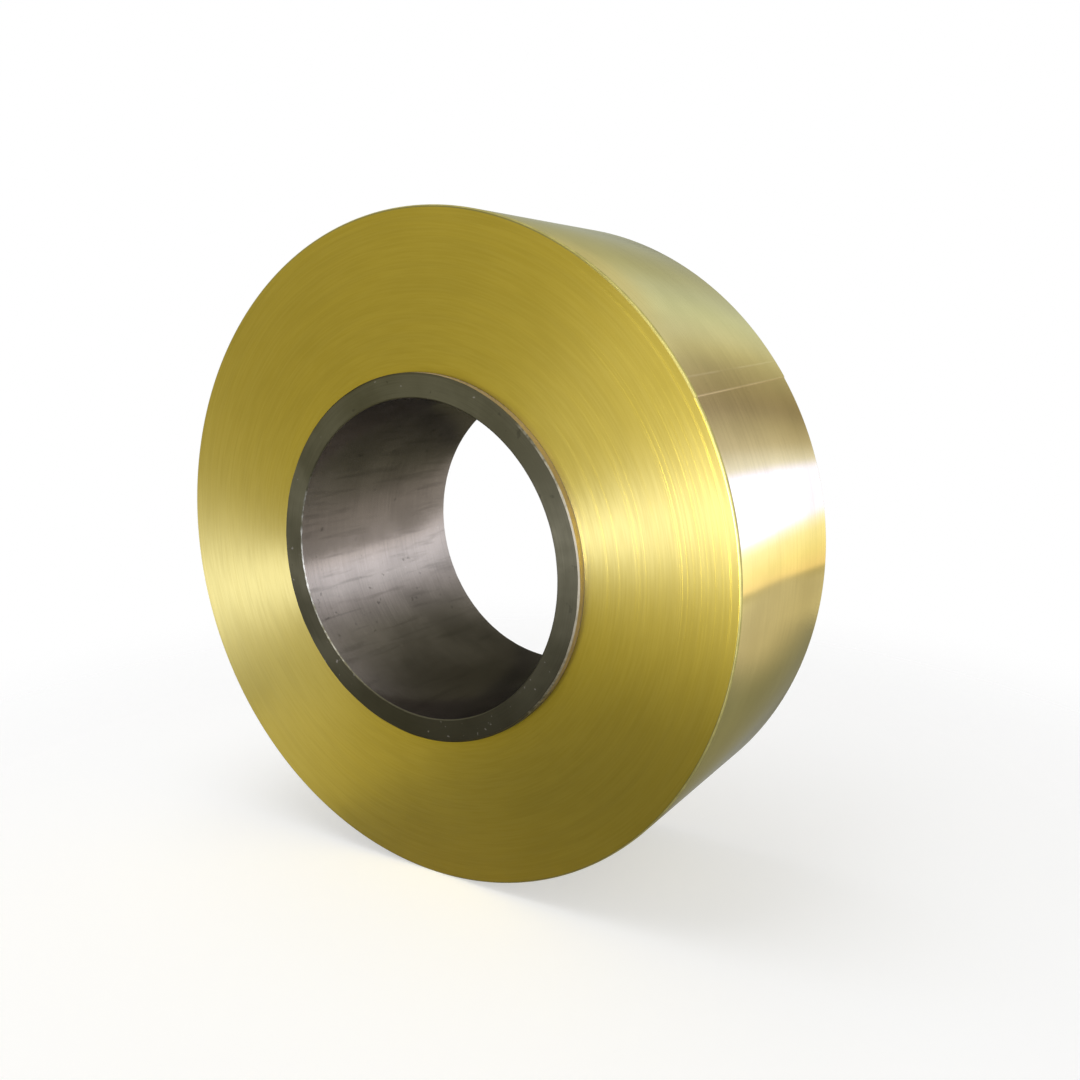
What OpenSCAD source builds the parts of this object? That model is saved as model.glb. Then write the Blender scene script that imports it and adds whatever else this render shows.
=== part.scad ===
// Coil of brass strip wound on a steel core, standing on its rim.
// The coil's axis lies along Y, its front end faces -Y and Z is up.
// The origin is the middle of the core's bore.

/* [Strip] */
// Width of the brass strip, which is the length of the coil along its axis
strip_width = 351; // [150:1:600]
// Thickness of the brass strip, which is the height of the step at its tail
strip_thickness = 1; // [0.3:0.1:2]
// How far the sheared tail end is out of square, in degrees
tail_skew = 3; // [0:0.5:6]
// Where the tail lies on the rim, in degrees above the horizontal
tail_angle = 31; // [0:1:360]

/* [Coil] */
// Outside diameter of the wound coil
coil_diameter = 1068; // [850:2:1400]
// Radial width of one band of wraps on the ends of the coil
band_pitch = 4; // [3:0.5:12]
// How much the width of a band wanders, as a share of its pitch
band_wander = 0.3; // [0:0.05:0.35]
// Width of the seam between two bands at the face
seam_width = 0.8; // [0.4:0.1:1.2]
// Depth of the seam between two bands
seam_depth = 0.4; // [0.2:0.1:1]
// Radius at the outer edges of the coil, where the last wraps roll over
edge_radius = 4; // [3:0.5:8]

/* [Core] */
// Bore of the steel core, which goes over a mandrel
core_bore = 508; // [400:1:610]
// Wall of the steel core
core_wall = 38; // [10:1:60]
// How far the core stands out of each end of the coil
core_standout = 14; // [2:1:40]
// Chamfer on the outer edges of the core
core_chamfer = 3; // [0.5:0.5:6]
// Chamfer on the edges of the core's bore
bore_chamfer = 1; // [0.5:0.5:6]
// Radial gap between the core and the first wrap
winding_gap = 0.1; // [0.05:0.05:0.5]

/* [Hidden] */
$fn = 180;

coil_r = coil_diameter / 2;
bore_r = core_bore / 2;
core_r = bore_r + core_wall;
core_length = strip_width + 2 * core_standout;
first_wrap_r = core_r + winding_gap;

// The last wraps form a plain skin, and bands of wraps fill the rest of each end.
turned_r = coil_r + strip_thickness / 2;
bands_r = turned_r - 2 * edge_radius;
band_count = floor((bands_r - first_wrap_r) / band_pitch);
// Radii of the seams: evenly spaced, each one led off its place by the golden angle
seams = [for (i = [1 : band_count - 1])
    first_wrap_r + i * band_pitch + band_wander * band_pitch * sin(137.5 * i)];

// Facets across the quarter round of the rolled edge
edge_steps = 6;

// The last wrap is a half turn off the axis. It falls from full height at the tail to the wrap below it.
last_wrap_shift = 0.6 * strip_thickness;
under_r = coil_r - strip_thickness;

// Lays a shape turned about Z along Y, so that angles run from +X up to +Z.
module along_y() {
    rotate([90, 0, 0]) children();
}

// One end of the coil from its bore outwards: a seam between each two bands, then the rolled edge
function end_points(h) = concat(
    [[first_wrap_r, h]],
    [for (r = seams) each [
        [r - seam_width / 2, h],
        [r, h - seam_depth],
        [r + seam_width / 2, h]
    ]],
    [for (a = [0 : 90 / edge_steps : 90]) [
        turned_r - edge_radius * (1 - sin(a)),
        h - edge_radius * (1 - cos(a))
    ]]
);

function mirrored(points) = [for (i = [len(points) - 1 : -1 : 0]) [points[i].x, -points[i].y]];

// The whole coil turned in one piece, a little over its full size
module turned_coil() {
    points = end_points(strip_width / 2);
    rotate_extrude() polygon(concat(points, mirrored(points)));
}

// Outline that the wraps fill: the wrap under the last one, and the last one down to its skewed tail
module wound_outline() {
    length = strip_width + 20;
    reach = coil_diameter;
    cylinder(r = under_r, h = length, center = true);
    intersection() {
        translate([last_wrap_shift, 0, 0]) cylinder(r = coil_r - last_wrap_shift, h = length, center = true);
        union() {
            translate([coil_r, 0, 0]) rotate([tail_skew, 0, 0])
                translate([-coil_r, 0, -length]) cube([reach, reach, 2 * length]);
            translate([-reach, 0, -length]) cube([reach, reach, 2 * length]);
        }
    }
}

module brass_coil() {
    color([0.78, 0.66, 0.22]) along_y() intersection() {
        turned_coil();
        rotate([0, 0, tail_angle]) wound_outline();
    }
}

module steel_core() {
    h = core_length / 2;
    c = core_chamfer;
    b = bore_chamfer;
    color([0.36, 0.34, 0.29]) along_y() rotate_extrude() polygon([
        [bore_r, b - h],
        [bore_r + b, -h],
        [core_r - c, -h],
        [core_r, c - h],
        [core_r, h - c],
        [core_r - c, h],
        [bore_r + b, h],
        [bore_r, h - b]
    ]);
}

brass_coil();
steel_core();
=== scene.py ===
import math
from types import SimpleNamespace

import bmesh
import bpy
import numpy as np
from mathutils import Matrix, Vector


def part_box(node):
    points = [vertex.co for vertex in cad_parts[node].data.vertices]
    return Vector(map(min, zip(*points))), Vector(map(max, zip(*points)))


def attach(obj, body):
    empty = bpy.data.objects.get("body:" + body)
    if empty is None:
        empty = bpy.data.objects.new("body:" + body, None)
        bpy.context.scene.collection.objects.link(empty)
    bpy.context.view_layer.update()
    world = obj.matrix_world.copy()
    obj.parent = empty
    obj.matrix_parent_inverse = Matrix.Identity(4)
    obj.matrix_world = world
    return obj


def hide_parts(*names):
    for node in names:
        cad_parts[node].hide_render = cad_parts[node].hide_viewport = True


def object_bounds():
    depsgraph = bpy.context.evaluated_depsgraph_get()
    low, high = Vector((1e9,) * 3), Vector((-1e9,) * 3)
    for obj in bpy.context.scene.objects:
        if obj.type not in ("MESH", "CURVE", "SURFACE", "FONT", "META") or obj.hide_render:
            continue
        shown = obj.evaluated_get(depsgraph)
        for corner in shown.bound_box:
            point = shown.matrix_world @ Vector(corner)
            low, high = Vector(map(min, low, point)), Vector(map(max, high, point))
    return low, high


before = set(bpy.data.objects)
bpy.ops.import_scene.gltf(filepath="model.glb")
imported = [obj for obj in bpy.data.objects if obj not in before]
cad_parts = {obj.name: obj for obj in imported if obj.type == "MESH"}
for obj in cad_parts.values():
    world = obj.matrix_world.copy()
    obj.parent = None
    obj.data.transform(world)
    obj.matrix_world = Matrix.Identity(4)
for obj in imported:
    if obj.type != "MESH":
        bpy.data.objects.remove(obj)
cadLow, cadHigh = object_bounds()
coilLow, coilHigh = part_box("brass_coil")
coreLow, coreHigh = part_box("steel_core")
print("frame loaded")

# Lengths are in metres. A turned piece is made round its own Z, which then points out of the front end.
outOfFront = (math.pi / 2, 0, 0)
seed = 7

ringLook = {
    "weldDistance": 2e-6,
    "endTilt": 0.95,              # how much of a face's normal lies along the axis if it is on an end
    "endCrease": 1,               # the bend in degrees that still looks smooth on an end, and elsewhere
    "crease": 28,
}


def angleNoise(rng, count, waves, size):
    # a closed ring of random values, made of waves that go round between the fewest and the most times
    fewest, most = waves
    angles = np.arange(count) * 2 * np.pi / count
    values = np.zeros(count)
    for k in range(fewest, most + 1):
        values += rng.normal() * np.cos(k * angles + rng.uniform(0, 2 * np.pi)) / k ** 0.5
    return values / np.abs(values).max() * size


def placed(thing, place=(0, 0, 0), turn=(0, 0, 0)):
    bpy.context.scene.collection.objects.link(thing)
    thing.location = place
    thing.rotation_euler = turn
    return thing


def makeRing(name, places, materials, slots):
    # places[column, point] are the corners of a closed section carried round the axis
    columns, points = places.shape[:2]
    mesh = bpy.data.meshes.new(name)
    bm = bmesh.new()
    verts = [[bm.verts.new(p) for p in column] for column in places]
    for c in range(columns):
        here, beside = verts[c], verts[(c + 1) % columns]
        for p in range(points):
            q = (p + 1) % points
            face = bm.faces.new((here[p], beside[p], beside[q], here[q]))
            face.material_index = slots[p]
    bmesh.ops.remove_doubles(bm, verts=bm.verts, dist=ringLook["weldDistance"])
    bmesh.ops.recalc_face_normals(bm, faces=bm.faces)
    for face in bm.faces:
        face.smooth = True
    # the bands on the ends stay flat between their seams, while the rounded corners are smooth
    for edge in bm.edges:
        onEnd = all(abs(face.normal.z) > ringLook["endTilt"] for face in edge.link_faces)
        crease = ringLook["endCrease"] if onEnd else ringLook["crease"]
        edge.smooth = edge.calc_face_angle(0) < math.radians(crease)
    bm.to_mesh(mesh)
    bm.free()
    for material in materials:
        mesh.materials.append(material)
    piece = placed(bpy.data.objects.new(name, mesh), turn=outOfFront)
    bpy.context.view_layer.update()
    return piece


class Wire:
    # the output of a shader node, so that maths on it reads as maths
    def __init__(self, finish, socket):
        self.finish = finish
        self.socket = socket

    def output(self, name):
        return Wire(self.finish, self.socket.node.outputs[name])

    def __add__(self, other): return self.finish.maths("ADD", self, other)
    def __radd__(self, other): return self.finish.maths("ADD", other, self)
    def __sub__(self, other): return self.finish.maths("SUBTRACT", self, other)
    def __rsub__(self, other): return self.finish.maths("SUBTRACT", other, self)
    def __mul__(self, other): return self.finish.maths("MULTIPLY", self, other)
    def __rmul__(self, other): return self.finish.maths("MULTIPLY", other, self)
    def __truediv__(self, other): return self.finish.maths("DIVIDE", self, other)
    def __rtruediv__(self, other): return self.finish.maths("DIVIDE", other, self)
    def __pow__(self, other): return self.finish.maths("POWER", self, other)


class Finish:
    # a material, or the world, and the nodes that make it
    def __init__(self, name, holder=None):
        self.holder = holder or bpy.data.materials.new(name)
        self.holder.use_nodes = True
        self.tree = self.holder.node_tree
        self.tree.nodes.clear()

    def add(self, kind, settings=None, sockets=None):
        node = self.tree.nodes.new(kind)
        for key, value in (settings or {}).items():
            if key == "stops":
                self.setStops(node.color_ramp, value)
            else:
                setattr(node, key, value)
        for key, value in (sockets or {}).items():
            socket = node.inputs[key]
            if isinstance(value, Wire):
                self.tree.links.new(value.socket, socket)
            else:
                socket.default_value = (*value, 1) if socket.type == "RGBA" else value
        return Wire(self, node.outputs[0]) if node.outputs else None

    def setStops(self, ramp, stops):
        while len(ramp.elements) < len(stops):
            ramp.elements.new(0.5)
        for element, (place, colour) in zip(ramp.elements, sorted(stops)):
            element.position = place
            element.color = (*colour, 1)

    def maths(self, operation, first, second=0.0):
        return self.add("ShaderNodeMath", {"operation": operation}, {0: first, 1: second})

    def point(self):
        return self.add("ShaderNodeTexCoord").output("Object")

    def split(self, vector):
        parts = self.add("ShaderNodeSeparateXYZ", None, {"Vector": vector})
        return [parts.output(axis) for axis in "XYZ"]

    def join(self, x, y, z):
        return self.add("ShaderNodeCombineXYZ", None, {"X": x, "Y": y, "Z": z})

    def mix(self, factor, first, second):
        # the Mix node has its sockets for colours at these places
        mixed = self.add("ShaderNodeMix", {"data_type": "RGBA"}, {0: factor, 6: first, 7: second})
        return mixed.output(2)

    def between(self, value, low, high, newLow=0.0, newHigh=1.0):
        places = {0: value, 1: low, 2: high, 3: newLow, 4: newHigh}
        return self.add("ShaderNodeMapRange", {"interpolation_type": "SMOOTHSTEP"}, places)

    def shades(self, tone, limits, colour, shares):
        # a colour that goes from one share of itself to the other as the tone goes up between its limits
        dark, light = [tuple(c * share for c in colour) for share in shares]
        return self.mix(self.between(tone, *limits), dark, light)

    def noise(self, vector, scale, detail):
        return self.add("ShaderNodeTexNoise", None, {"Vector": vector, "Scale": scale, "Detail": detail})

    def bump(self, height, strength, distance):
        sockets = {"Strength": strength, "Distance": distance, "Height": height}
        return self.add("ShaderNodeBump", None, sockets)

    def metal(self, sockets):
        # highlights are drawn out across the marks that go round the axis
        turned = {"Metallic": 1.0, "Anisotropic Rotation": 0.25}
        return self.add("ShaderNodeBsdfPrincipled", None, {**turned, **sockets})

    def blend(self, share, first, second):
        return self.add("ShaderNodeMixShader", None, {0: share, 1: first, 2: second})

    def surface(self, shader):
        self.add("ShaderNodeOutputMaterial", None, {"Surface": shader})
        return self.holder


def polar(f):
    # a point of a piece: its place, its x, y and z along the axis, its radius and its angle in turns
    point = f.point()
    x, y, z = f.split(point)
    radius = (x * x + y * y) ** 0.5
    angle = f.maths("ARCTAN2", y, x) / (2 * math.pi)
    return SimpleNamespace(point=point, x=x, y=y, z=z, radius=radius, angle=angle)


def streaks(f, at, across, along, detail):
    # noise drawn out round the axis: across is per metre of radius, along is per radian
    places = (at.radius * across + at.z * across, at.x / at.radius * along, at.y / at.radius * along)
    return f.noise(f.join(*places), 1.0, detail)


coilLook = {
    "outerRadius": 0.534,
    "boreRadius": 0.2921,
    "stripThickness": 0.001,
    "lastWrapShift": 0.6,         # how far the last wrap is off the axis, as a share of that thickness
    "tailAngle": 31.0,            # where the strip's free end lies, in degrees above the horizontal
    "tailSkew": 3.0,              # how far it is out of square, in degrees
    "tailLift": 0.0002,           # how far it springs up, and over what length
    "tailLiftRun": 0.035,
    "bandPitch": 0.004,           # width of a band of wraps, and how much it wanders as a share of that
    "bandWander": 0.3,
    "wanderStep": 137.5,          # degrees of the wander's wave from one band to the next
    "bandStagger": 0.00001,       # how far the bands stand in or out of each other
    "seamWidth": 0.0005,
    "seamDepth": 0.00005,
    "seamLeast": 0.3,             # its square is the share of that depth which the shallowest seam has
    "edgeRadius": 0.004,
    "edgeFaces": 6,               # faces across a rolled edge, and how many of them have a duller finish
    "dullEdgeFaces": 4,
    "columns": 240,               # sections round the axis
}
brassLook = {
    "toneLimits": (0.36, 0.64),             # the noise values between which a colour's tone goes up
    "grooveColour": (0.295, 0.212, 0.008),  # the deep gold between the burrs of the slit edges
    "grooveTones": (0.95, 1.05),
    "grooveRoughness": 0.28,
    "facetColour": (1.0, 0.93, 0.42),       # the bright burrs themselves
    "facetRoughness": 0.54,
    "facetShare": (0.0765, 0.0935),         # how much of the end they cover, at least and at most
    "grooveSpread": 0.3,                    # how far the highlights are drawn out
    "facetSpread": 0.98,
    "fineRings": (330.0, 6.0, 3.0),         # how fine the streaks are across and along, and their detail
    "broadRings": (70.0, 2.0, 2.0),
    "patches": (6.0, 3.0),                  # how fine, and their detail
    "endBump": (0.018, 0.0003),             # strength and height
    "coreShadeColour": (0.15, 0.125, 0.055),  # painted shade where the coil meets the core
    "coreShadeWidth": 0.0012,
    "edgeColour": (0.14, 0.12, 0.03),       # where the end face begins to round over
    "edgeSoftness": 0.0005,
    "cornerColour": (0.36, 0.32, 0.1),      # the rest of the rolled edge
    "cornerTones": (0.9, 1.1),
    "cornerRoughness": 0.5,
    "cornerSpread": 0.5,
    "cornerPatches": (60.0, 3.0),
    "cornerBump": (0.1, 0.0003),
    "rimColour": (0.66, 0.58, 0.29),
    "rimTones": (0.9, 1.05),
    "rimEdgeTint": (0.7, 0.64, 0.42),       # how it reflects at a glancing angle
    "rimRoughness": 0.13,
    "rimSpread": 0.75,
    "rimBump": (0.08, 0.0004),
    "rollingMarks": (260.0, 1.5, 3.0),
    "stains": (7.0, 4.0),
    "tailWidth": 0.0022,                    # of the painted highlight on the burr along the strip's free end
    "printGap": 0.029,                      # from that end to the line it has pressed through the wrap
    "printWidth": 0.0025,
    # a painted highlight on the pressed line and on the burr, which are real marks
    "printHighlightColour": (0.95, 0.84, 0.55),
    "printPatches": (9.0, 2.0),
    "printShare": (0.05, 0.4),              # how much of the painted highlight shows on the pressed line, at least and at most
    "burrShare": 0.4,                       # how much more of it is painted on the burr
}


def brassEnd():
    look = brassLook
    f = Finish("brass end faces")
    at = polar(f)
    fine = streaks(f, at, *look["fineRings"])
    broad = streaks(f, at, *look["broadRings"])
    patch = f.noise(at.point, *look["patches"])
    tone = fine * 0.35 + broad * 0.35 + patch * 0.3
    groove = f.shades(tone, look["toneLimits"], look["grooveColour"], look["grooveTones"])
    # painted shade where the coil meets the core: the brass goes darker there
    core = coreLook["outerRadius"]
    coreShade = f.between(at.radius, core, core + look["coreShadeWidth"], 1.0, 0.0)
    groove = f.mix(coreShade, groove, look["coreShadeColour"])
    flat, soft = coilLook["outerRadius"] - coilLook["edgeRadius"], look["edgeSoftness"]
    groove = f.mix(f.between(at.radius, flat - soft, flat + soft), groove, look["edgeColour"])
    # a fine ridge for each wrap, which follows the strip outwards and wanders a little
    turns = at.radius / coilLook["stripThickness"] + at.angle + patch * 0.3
    wrap = f.maths("PINGPONG", turns, 0.5)
    bump = f.bump(fine + broad + wrap * 0.4, *look["endBump"])
    deep = f.metal({"Base Color": groove, "Roughness": look["grooveRoughness"],
                    "Anisotropic": look["grooveSpread"], "Normal": bump})
    bright = f.metal({"Base Color": look["facetColour"], "Roughness": look["facetRoughness"],
                      "Anisotropic": look["facetSpread"], "Normal": bump})
    share = f.between(fine * 0.7 + patch * 0.3, 0.35, 0.65, *look["facetShare"])
    # fewer bright burrs within the painted shade at the core
    return f.surface(f.blend(share * (1 - coreShade * 0.7), deep, bright))


def brassRim():
    look = brassLook
    f = Finish("brass rim")
    at = polar(f)
    rolled = streaks(f, at, *look["rollingMarks"])
    stain = f.noise(at.point, *look["stains"])
    # how far round from the strip's free end, and from the line that it has pressed through the wrap
    tail = coilLook["tailAngle"] / 360
    skew = math.tan(math.radians(coilLook["tailSkew"]))
    past = (at.angle - tail) * (2 * math.pi * coilLook["outerRadius"]) + at.z * skew
    off = past - look["printGap"]
    line = f.between(f.maths("ABSOLUTE", off), 0.0, look["printWidth"], 1.0, 0.0)
    tailGlint = f.between(f.maths("ABSOLUTE", past), 0.0, look["tailWidth"], 1.0, 0.0)
    shown = f.between(f.noise(at.point, *look["printPatches"]), 0.3, 0.7, *look["printShare"])
    tone = rolled * 0.3 + stain * 0.7
    colour = f.shades(tone, look["toneLimits"], look["rimColour"], look["rimTones"])
    # the pale colour on the pressed line and on the burr at the free end is a painted highlight
    colour = f.mix(line * shown + tailGlint * (shown + look["burrShare"]), colour, look["printHighlightColour"])
    bump = f.bump(rolled * 0.3 + line * 0.7, *look["rimBump"])
    return f.surface(f.metal({
        "Base Color": colour, "Roughness": look["rimRoughness"], "Specular Tint": look["rimEdgeTint"],
        "Anisotropic": look["rimSpread"], "Normal": bump}))


def brassCorner():
    look = brassLook
    f = Finish("brass rolled edges")
    patch = f.noise(f.point(), *look["cornerPatches"])
    colour = f.shades(patch, (0.35, 0.65), look["cornerColour"], look["cornerTones"])
    return f.surface(f.metal({
        "Base Color": colour, "Roughness": look["cornerRoughness"],
        "Anisotropic": look["cornerSpread"], "Normal": f.bump(patch, *look["cornerBump"])}))


def outlineRadius(look, turn):
    # radius of the outermost wrap at each angle past the tail, in radians
    shift = look["lastWrapShift"] * look["stripThickness"]
    full = look["outerRadius"]
    wrap = shift * np.cos(turn) + np.sqrt((full - shift) ** 2 - (shift * np.sin(turn)) ** 2)
    under = full - look["stripThickness"]
    lift = look["tailLift"] * np.clip(1 - turn * full / look["tailLiftRun"], 0, 1) ** 2
    return np.where(turn < np.pi, np.maximum(wrap, under), under) + lift


def coilEnd(look):
    # one end's section, from the bore to the rim: radius, depth below the end, share of the rim's outline
    rng = np.random.default_rng(seed)
    bore, full, edge = look["boreRadius"], look["outerRadius"], look["edgeRadius"]
    pitch, wide = look["bandPitch"], look["seamWidth"] / 2
    bandsEnd = full + look["stripThickness"] / 2 - 2 * edge
    section = [(bore, 0.0, 0.0)]
    depth = 0.0
    for i in range(1, int((bandsEnd - bore) / pitch)):
        wander = look["bandWander"] * pitch * math.sin(math.radians(look["wanderStep"] * i))
        seam = bore + i * pitch + wander
        section.append((seam - wide, depth, 0.0))
        last, depth = depth, rng.uniform(0, look["bandStagger"])
        bottom = max(last, depth) + look["seamDepth"] * rng.uniform(look["seamLeast"], 1.0) ** 2
        section.append((seam, bottom, 0.0))
        section.append((seam + wide, depth, 0.0))
    section.append((full - edge, 0.0, 0.5))
    for i in range(look["edgeFaces"]):
        a = math.radians(90 * (i + 1) / look["edgeFaces"])
        section.append((full - edge * (1 - math.sin(a)), edge * (1 - math.cos(a)), 1.0))
    return section


def makeCoil():
    look = coilLook
    half = (coilHigh[1] - coilLow[1]) / 2
    end = coilEnd(look)
    rows = [(r, half - d, w) for r, d, w in end] + [(r, d - half, w) for r, d, w in reversed(end)]
    across, along, share = np.array(rows).T
    ends, rim, rolledEdge = range(3)
    slots = [ends] * len(rows)
    slots[len(end) - 1] = rim
    for i in range(look["dullEdgeFaces"]):
        slots[len(end) - 2 - i] = slots[len(end) + i] = rolledEdge
    # the last column is on the wrap below the tail, which makes the step at the tail's end
    turn = np.arange(look["columns"] + 1) * 2 * np.pi / look["columns"]
    drop = look["outerRadius"] - outlineRadius(look, turn)
    drop[-1] = look["stripThickness"]
    skew = math.tan(math.radians(look["tailSkew"])) / look["outerRadius"]
    radius = across - drop[:, None] * share
    angle = math.radians(look["tailAngle"]) + turn[:, None] - skew * along
    height = np.broadcast_to(along, radius.shape)
    places = np.stack([radius * np.cos(angle), radius * np.sin(angle), height], axis=2)
    coil = makeRing("wound_strip", places, [brassEnd(), brassRim(), brassCorner()], slots)
    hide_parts("brass_coil")
    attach(coil, "root")
    print("coil made:", len(coil.data.polygons), "faces")


coreLook = {
    "boreRadius": 0.254,
    "outerRadius": 0.292,
    "outerChamfer": 0.0026,
    "innerChamfer": 0.0016,
    "rimWear": 0.0009,            # how unevenly the outer chamfers are worn
    "rimWearWaves": (1, 60),      # the fewest and the most waves of it in a turn
    "boreWear": 0.0013,           # and those of the bore
    "boreWearWaves": (30, 115),
    "boreWearAngle": 188.0,       # where these are worn most, in degrees
    "boreWearFocus": (1.5, 0.2),  # how steeply it falls off to both sides, and how much it is lowered
    "boreWearFront": (0.15, 1),   # the least and the most of it at each end, as shares
    "boreWearRear": (0.15, 0.3),
    "columns": 240,
}
# spread: how far the highlights are drawn out
# darker towards the bottom, with dark spots and pale flecks: how much darker, and the heights where it is
# darkest and where it ends
# lit, worn side: a painted highlight where it faces the light, chipped like wear, painted shade
# elsewhere; the way it faces, in degrees, how chipped it is and from where
# metal: less than 1 where the steel has a dull skin of rust and oil
# smears: how dark the marks drawn out along the axis are
steelSurfaces = {
    "steel core ends": {"colour": (0.075, 0.07, 0.042), "roughness": 0.38, "spread": 0.5,
                        "darkBelowAndSpots": (0.75, -0.26, 0.1)},
    # the outer edges and the outside are painted light on their lit side and dark as shade elsewhere
    "steel core outer edges": {"colour": (0.46, 0.42, 0.31), "roughness": 0.35, "spread": 0.3,
                               "litWornSide": (2, 0.5, 0.88)},
    "steel core bore edges": {"colour": (0.15, 0.145, 0.11), "roughness": 0.35, "spread": 0.3,
                              "litWornSide": (192, 1.4, 1.4)},
    "steel core outside": {"colour": (0.36, 0.29, 0.21), "roughness": 0.4, "spread": 0.3,
                           "litWornSide": (40, 0.5, 0.3), "metal": 0.35},
    "steel core bore": {"colour": (0.3, 0.265, 0.245), "roughness": 0.16, "spread": 0.4,
                        "darkBelowAndSpots": (0.35, -0.2, -0.09), "metal": 0.8, "smears": 0.22},
}
steelLook = {
    "edgeTint": (0.5, 0.48, 0.43),     # how the steel reflects at a glancing angle
    "tones": (0.85, 1.15),
    "turnedMarks": (500.0, 3.0, 3.0),  # how fine they are across and along, and their detail
    "patches": (9.0, 4.0),             # how fine, and their detail
    "chips": (120.0, 3.0),
    "litWornFade": 0.4,                   # how gradually the painted highlight of the lit, worn side ends
    "darkColour": (0.023, 0.021, 0.014),
    "spots": (70.0, 2.0),
    "spotLimits": (0.56, 0.63),        # the noise values between which a spot fades in
    "spotShare": 0.4,
    "fleckColour": (0.5, 0.46, 0.42),
    "flecks": (110.0, 2.0),
    "fleckLimits": (0.86, 0.92),
    "fleckShare": 0.2,
    "smears": (22.0, 9.0),             # how fine they are round the axis and along it
    "smearLimits": (0.5, 0.72),
    "dents": (38.0, 3.0),
    "bump": (0.15, 0.0004),            # strength and height
}


def steelFinish(name):
    look, own = steelLook, steelSurfaces[name]
    f = Finish(name)
    at = polar(f)
    turned = streaks(f, at, *look["turnedMarks"])
    patch = f.noise(at.point, *look["patches"])
    shade = f.shades(turned * 0.3 + patch * 0.7, (0.35, 0.65), own["colour"], look["tones"])
    height = turned + patch
    if "smears" in own:
        around, along = look["smears"]
        drawn = f.join(at.x / at.radius * around, at.y / at.radius * around, at.z * along)
        smears = f.between(f.noise(drawn, 1.0, 4.0), *look["smearLimits"]) * own["smears"]
        shade = f.mix(smears, shade, look["darkColour"])
        height = height + f.noise(at.point, *look["dents"]) * 1.5
    # painted highlight on the side that faces the light, broken into chips like wear; painted shade in
    # the ends' dark colour elsewhere
    if "litWornSide" in own:
        side, chipped, start = own["litWornSide"]
        side = math.radians(side)
        facing = (at.x * math.cos(side) + at.y * math.sin(side)) / at.radius
        litWorn = facing + f.noise(at.point, *look["chips"]) * chipped
        litWorn = f.between(litWorn, start, start + look["litWornFade"])
        # painted shade: away from the lit side the edge takes the dark colour of the ends
        shade = f.mix(litWorn, steelSurfaces["steel core ends"]["colour"], shade)
    # darker towards the bottom, with dark spots and pale flecks here and there
    if "darkBelowAndSpots" in own:
        strength, thick, ends = own["darkBelowAndSpots"]
        low = f.between(at.y + patch * 0.08, thick, ends, 1.0, 0.0)
        spots = f.between(f.noise(at.point, *look["spots"]) - patch * 0.25, *look["spotLimits"])
        darkBelowAndSpots = f.maths("MAXIMUM", low * strength, spots * look["spotShare"])
        shade = f.mix(darkBelowAndSpots, shade, look["darkColour"])
        flecks = f.between(f.noise(at.point, *look["flecks"]) + patch * 0.3, *look["fleckLimits"])
        shade = f.mix(flecks * look["fleckShare"], shade, look["fleckColour"])
    rough = f.between(patch, 0.3, 0.7, own["roughness"] * 0.85, own["roughness"] * 1.15)
    return f.surface(f.metal({
        "Base Color": shade, "Metallic": own.get("metal", 1.0), "Roughness": rough,
        "Specular Tint": look["edgeTint"], "Anisotropic": own["spread"],
        "Normal": f.bump(height, *look["bump"])}))


def makeCore():
    look = coreLook
    rng = np.random.default_rng(seed + 1)
    half = (coreHigh[1] - coreLow[1]) / 2
    bore, outer, columns = look["boreRadius"], look["outerRadius"], look["columns"]
    angle = np.arange(columns) * 2 * np.pi / columns
    zero = np.zeros(columns)
    steepness, lowered = look["boreWearFocus"]
    focus = steepness * np.cos(angle - math.radians(look["boreWearAngle"])) - lowered
    corners = []
    for side, limits in ((1, look["boreWearFront"]), (-1, look["boreWearRear"])):
        wear = angleNoise(rng, columns, look["boreWearWaves"], look["boreWear"])
        inner = look["innerChamfer"] + wear * np.clip(focus, *limits)
        rim = look["outerChamfer"] + angleNoise(rng, columns, look["rimWearWaves"], look["rimWear"])
        corners.append([(bore + zero, side * (half - inner)), (bore + inner, side * half + zero),
                        (outer - rim, side * half + zero), (outer + zero, side * (half - rim))])
    section = [*corners[0], *reversed(corners[1])]
    ends, outerEdge, boreEdge, outside, wall = range(len(steelSurfaces))
    slots = [boreEdge, ends, outerEdge, outside, outerEdge, ends, boreEdge, wall]
    radius, height = [np.stack(values, axis=1) for values in zip(*section)]
    around = angle[:, None]
    places = np.stack([radius * np.cos(around), radius * np.sin(around), height], axis=2)
    core = makeRing("turned_core", places, [steelFinish(name) for name in steelSurfaces], slots)
    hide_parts("steel_core")
    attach(core, "root")
    print("core made:", len(core.data.polygons), "faces")


def oblong(left, low, right, high):
    return [(left, low), (right, low), (right, high), (left, high)]


def disc(x, y, radius, corners=48):
    turns = [2 * math.pi * i / corners for i in range(corners)]
    return [(x + radius * math.cos(t), y + radius * math.sin(t)) for t in turns]


def panel(name, outline):
    mesh = bpy.data.meshes.new(name)
    mesh.from_pydata([(x, y, 0) for x, y in outline], [], [range(len(outline))])
    return bpy.data.objects.new(name, mesh)


def aimed(thing, place, aim):
    towards = Vector(aim) - Vector(place)
    return placed(thing, place, towards.to_track_quat("-Z", "Y").to_euler())


def rayMask(f, *kinds):
    # 1 for the kinds of ray that are named
    path = f.add("ShaderNodeLightPath")
    mask = 0.0
    for kind in kinds:
        mask = f.maths("MAXIMUM", path.output(kind), mask)
    return mask


def showInMetal(card, f, colour, strength, mask):
    clear = f.add("ShaderNodeBsdfTransparent")
    glow = f.add("ShaderNodeEmission", None, {"Color": colour, "Strength": strength})
    card.data.materials.append(f.surface(f.blend(mask, clear, glow)))
    card.visible_camera = card.visible_diffuse = card.visible_shadow = False


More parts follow.
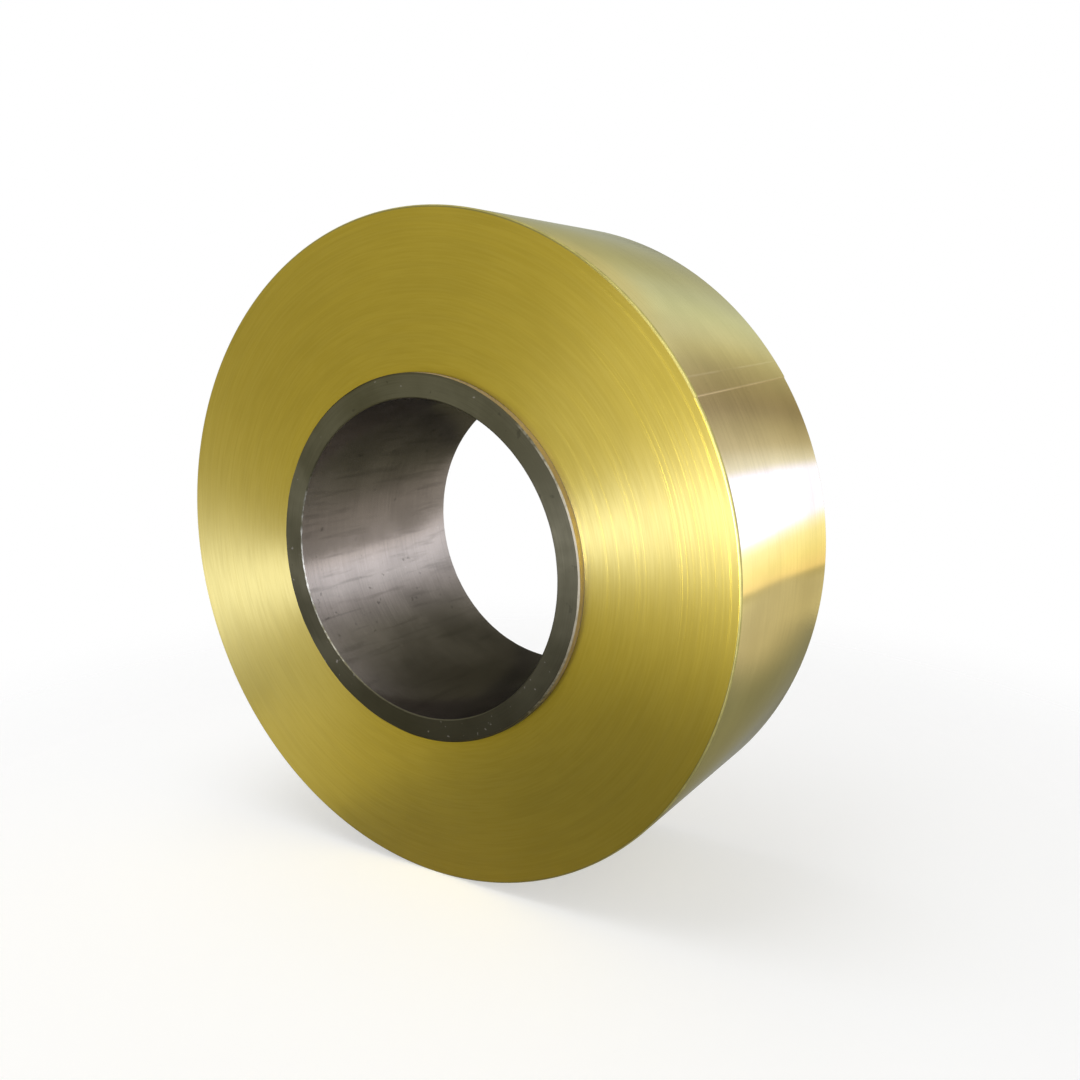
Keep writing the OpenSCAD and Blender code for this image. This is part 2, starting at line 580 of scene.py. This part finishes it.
# A lamp lights either the metal or all that is dull. Its size is given across and up, its power in watts.
lamps = {
    "topLamp": {
        "place": (-0.4, -0.6, 3.4), "aim": (0, 0, 0), "size": (2.5, 2.5),
        "power": 62.0, "colour": (1.0, 1.0, 1.0), "lightsMetal": False},
    "streakLamp": {
        "place": (1.28, -4.8, -0.03), "aim": (0, 0, 0), "size": (1.53, 0.95),
        "power": 550.0, "colour": (0.94, 0.96, 1.3), "lightsMetal": True},
    "shoulderLamp": {
        "place": (0.6, -4.3, 2.12), "aim": (0, 0, 0), "size": (2.55, 2.2),
        "power": 93.0, "colour": (1.0, 0.98, 0.94), "lightsMetal": True},
}


def makeLamp(name):
    look = lamps[name]
    light = bpy.data.lights.new(name, "AREA")
    light.shape = "RECTANGLE"
    light.size, light.size_y = look["size"]
    light.energy = look["power"]
    light.color = look["colour"]
    lamp = aimed(bpy.data.objects.new(name, light), look["place"], look["aim"])
    lamp.visible_camera = False
    lamp.visible_glossy = look["lightsMetal"]
    lamp.visible_diffuse = not look["lightsMetal"]


# A card shows only in the metal. Its edges fade over these shares of its size across and up.
cards = {
    "frontWall": {
        "place": (-2.5, -2.4, 0.4), "aim": (-0.9, 0, 0.4), "size": (2.6, 1.5),
        "colour": (0.78, 0.75, 0.42), "fade": (0.4, 0.35)},
    "frontMat": {
        "place": (0.2, -0.8, -0.532), "aim": (0.2, -0.8, -2), "size": (1.0, 1.2),
        "colour": (0.34, 0.33, 0.3), "fade": (0.35, 0.35)},
    "nearMat": {
        "place": (0.57, 0.7, -0.532), "aim": (0.57, 0.7, -2), "size": (0.96, 1.7),
        "colour": (0.4, 0.42, 0.43), "fade": (0.14, 0.2)},
    "farMat": {
        "place": (1.12, 1.45, -0.5315), "aim": (1.12, 1.45, -2), "size": (1.25, 2.1),
        "colour": (0.92, 0.86, 0.86), "fade": (0.32, 0.24)},
    "sideMat": {
        "place": (-0.6, -0.52, -0.532), "aim": (-0.6, -0.52, -2), "size": (0.95, 0.85),
        "colour": (1.0, 0.97, 0.7), "fade": (0.35, 0.3)},
}


def makeCard(name):
    look = cards[name]
    across, up = look["size"]
    outline = oblong(-across / 2, -up / 2, across / 2, up / 2)
    card = aimed(panel(name, outline), look["place"], look["aim"])
    f = Finish(name)
    mask = 1.0
    for side, fade in zip(f.split(f.add("ShaderNodeTexCoord").output("Generated")), look["fade"]):
        mask = f.between(side, 0.0, fade) * f.between(1 - side, 0.0, fade) * mask
    showInMetal(card, f, look["colour"], 1.0, mask)


# A card with bands round a centre: how bright the surroundings look at each angle, in degrees, of the
# turned wall that mirrors them. The wall is given by its radius, and no band is brighter than the peak.
bandCards = {
    "upperBands": {
        "centre": (0.2, 3.3, -0.12), "outline": oblong(-2.9, 0.27, 3.0, 2.6),
        "wall": coilLook["outerRadius"], "peak": 5.8,
        "bands": {
            13: (2, 2.2, 5.8), 16.5: (2, 2.2, 5.8), 18: (1.4, 1.45, 2.2), 21: (0.9, 0.85, 1.0),
            24: (0.7, 0.65, 0.7), 27: (0.48, 0.42, 0.45), 30: (0.52, 0.46, 0.45),
            34: (0.65, 0.62, 0.62), 37: (0.9, 0.9, 0.9), 40: (1.05, 1.12, 1.35),
            45: (1.05, 1.22, 1.55), 50: (0.9, 1.05, 1.45), 56: (0.72, 0.8, 0.88),
            75: (0.55, 0.6, 0.55)}},
    "lowerBands": {
        "centre": (-3.7, 3.3, -0.18), "outline": oblong(3.0, -1.5, 6.9, 0.33),
        "wall": coilLook["outerRadius"], "peak": 5.8,
        "bands": {
            -12: (0.85, 0.8, 0.65), -6: (1.15, 1.1, 0.95), -2.2: (1.25, 1.2, 1.05),
            -1.2: (0.85, 0.8, 0.65), -0.4: (0.9, 0.82, 0.65), 0.3: (1.7, 1.42, 1.1),
            3: (1.75, 1.63, 1.25), 6: (1.85, 1.83, 1.75), 7.5: (1.95, 2.05, 3.1),
            8.5: (2, 2.2, 5.8), 13: (2, 2.2, 5.8)}},
    "boreBands": {
        "centre": (-0.15, 0.45, -0.06), "outline": disc(0.15, 0.04, 0.5),
        "wall": coreLook["boreRadius"], "peak": 3.0,
        "bands": {
            122: (0.03, 0.03, 0.02), 140: (0.1, 0.1, 0.06), 150: (0.16, 0.16, 0.1),
            160: (0.28, 0.27, 0.2), 170: (0.52, 0.49, 0.42), 184.5: (0.8, 0.77, 0.7),
            186.5: (1.9, 1.85, 1.8), 192: (2.15, 2.2, 2.3), 200: (1.7, 1.75, 1.8),
            205: (1.1, 1.1, 1.1), 210: (0.65, 0.65, 0.62), 220: (0.38, 0.38, 0.3),
            230: (0.2, 0.2, 0.13), 252: (0.14, 0.14, 0.08)}},
}


def bandTurn(look, wallAngle):
    # how far round the card's centre, in turns, the camera sees it in the wall at that angle
    a = math.radians(wallAngle)
    out = Vector((math.cos(a), 0, math.sin(a)))
    start = out * look["wall"]
    ray = (start - Vector(cameraLook["place"])).reflect(out)
    centre = Vector(look["centre"])
    hit = start + ray * (centre.y / ray.y) - centre
    return math.atan2(hit.z, hit.x) / (2 * math.pi)


def makeBands(name):
    look = bandCards[name]
    card = placed(panel(name, look["outline"]), look["centre"], outOfFront)
    f = Finish(name)
    turns = [bandTurn(look, a) for a in look["bands"]]
    first, span = min(turns), max(turns) - min(turns)
    stops = [((turn - first) / span, tuple(c / look["peak"] for c in colour))
             for turn, colour in zip(turns, look["bands"].values())]
    colour = f.add("ShaderNodeValToRGB", {"stops": stops}, {0: (polar(f).angle - first) / span})
    showInMetal(card, f, colour, look["peak"], 1.0)


# the funnel goes from the bore's rear end to its bands, and the mouth card closes its front end
mouthLook = {
    "overlap": 0.0005,           # how far both reach into the steel
    "rearInset": 0.003,          # how far inside the ends they begin
    "frontInset": 0.004,
    "lowColour": (0.3, 0.29, 0.27),
    "highColour": (0.9, 0.9, 0.88),
    "height": 0.25,              # how far from the axis up and down the colours are reached
}


def makeFunnel():
    # keeps the bore's bands out of the rear end's sight: white outside, clear inside
    look = bandCards["boreBands"]
    x, depth, z = look["centre"]
    start = coreHigh[1] - mouthLook["rearInset"]
    mouth = [(a, start, b) for a, b in disc(0, 0, look["wall"] + mouthLook["overlap"])]
    edge = [(x + a, depth, z + b) for a, b in look["outline"]]
    count = len(edge)
    faces = [(i, i + count, (i + 1) % count + count, (i + 1) % count) for i in range(count)]
    mesh = bpy.data.meshes.new("funnel")
    mesh.from_pydata(mouth + edge, [], faces)
    funnel = placed(bpy.data.objects.new("funnel", mesh))
    f = Finish("funnel")
    inside = f.add("ShaderNodeNewGeometry").output("Backfacing")
    showInMetal(funnel, f, (1, 1, 1), 1.0, 1 - inside)


def makeMouth():
    # what the bore mirrors at its front end when seen from behind, in place of the lamps: clear outside
    look = mouthLook
    outline = disc(0, 0, coreLook["boreRadius"] + look["overlap"])
    mouth = placed(panel("mouth", outline), (0, coreLow[1] + look["frontInset"], 0), outOfFront)
    f = Finish("mouth")
    rise = f.between(polar(f).y, -look["height"], look["height"])
    inside = f.add("ShaderNodeNewGeometry").output("Backfacing")
    showInMetal(mouth, f, f.mix(rise, look["lowColour"], look["highColour"]), 1.0, inside)
    mouth.visible_shadow = True


studioLook = {
    "skyLight": 0.5,             # what the white surroundings give to all but metal and the camera
    "floorColour": (0.54, 0.54, 0.54),
    "floorLift": 0.52,           # brings the floor up to white for the camera
    "floorFades": (0.95, 1.85),  # where the floor goes over into the white surroundings
    "floorSize": 8.0,
}


def makeFloor():
    look = studioLook
    half = look["floorSize"] / 2
    floor = placed(panel("floor", oblong(-half, -half, half, half)), (0, 0, cadLow[2]))
    f = Finish("floor")
    matt = f.add("ShaderNodeBsdfDiffuse", None, {"Color": look["floorColour"]})
    lift = rayMask(f, "Is Camera Ray") * look["floorLift"]
    glow = f.add("ShaderNodeEmission", None, {"Color": (1, 1, 1), "Strength": lift})
    pale = f.add("ShaderNodeAddShader", None, {0: matt, 1: glow})
    clear = f.add("ShaderNodeBsdfTransparent")
    shown = f.between(polar(f).radius, *look["floorFades"], 1.0, 0.0)
    floor.data.materials.append(f.surface(f.blend(shown, clear, pale)))


def makeStudio():
    world = bpy.data.worlds.new("studio")
    bpy.context.scene.world = world
    f = Finish("studio", world)
    seen = rayMask(f, "Is Camera Ray", "Is Glossy Ray", "Is Transmission Ray")
    strength = seen * (1.0 - studioLook["skyLight"]) + studioLook["skyLight"]
    sky = f.add("ShaderNodeBackground", None, {"Color": (1, 1, 1), "Strength": strength})
    f.add("ShaderNodeOutputWorld", None, {"Surface": sky})
    makeFloor()
    for name in lamps:
        makeLamp(name)
    for name in cards:
        makeCard(name)
    for name in bandCards:
        makeBands(name)
    makeFunnel()
    makeMouth()
    print("studio made")


# the camera stands to the right of the front end and a little above the bore
cameraLook = {
    "place": (1.0323, -1.4040, 0.3337),
    "turn": 30.39,
    "tip": -11.65,
    "lens": 34.318,              # in millimetres, as is the sensor
    "sensor": 36,
    "shiftX": -0.0522,
    "shiftY": 0.0151,
}


def makeCamera():
    look = cameraLook
    data = bpy.data.cameras.new("camera")
    data.lens = look["lens"]
    data.sensor_width = look["sensor"]
    data.shift_x, data.shift_y = look["shiftX"], look["shiftY"]
    turn = (math.radians(90 + look["tip"]), 0, math.radians(look["turn"]))
    bpy.context.scene.camera = placed(bpy.data.objects.new("camera", data), look["place"], turn)
    bpy.context.scene.view_settings.view_transform = "Standard"
    print("camera placed")


makeCoil()
makeCore()
makeStudio()
makeCamera()
print("scene done")
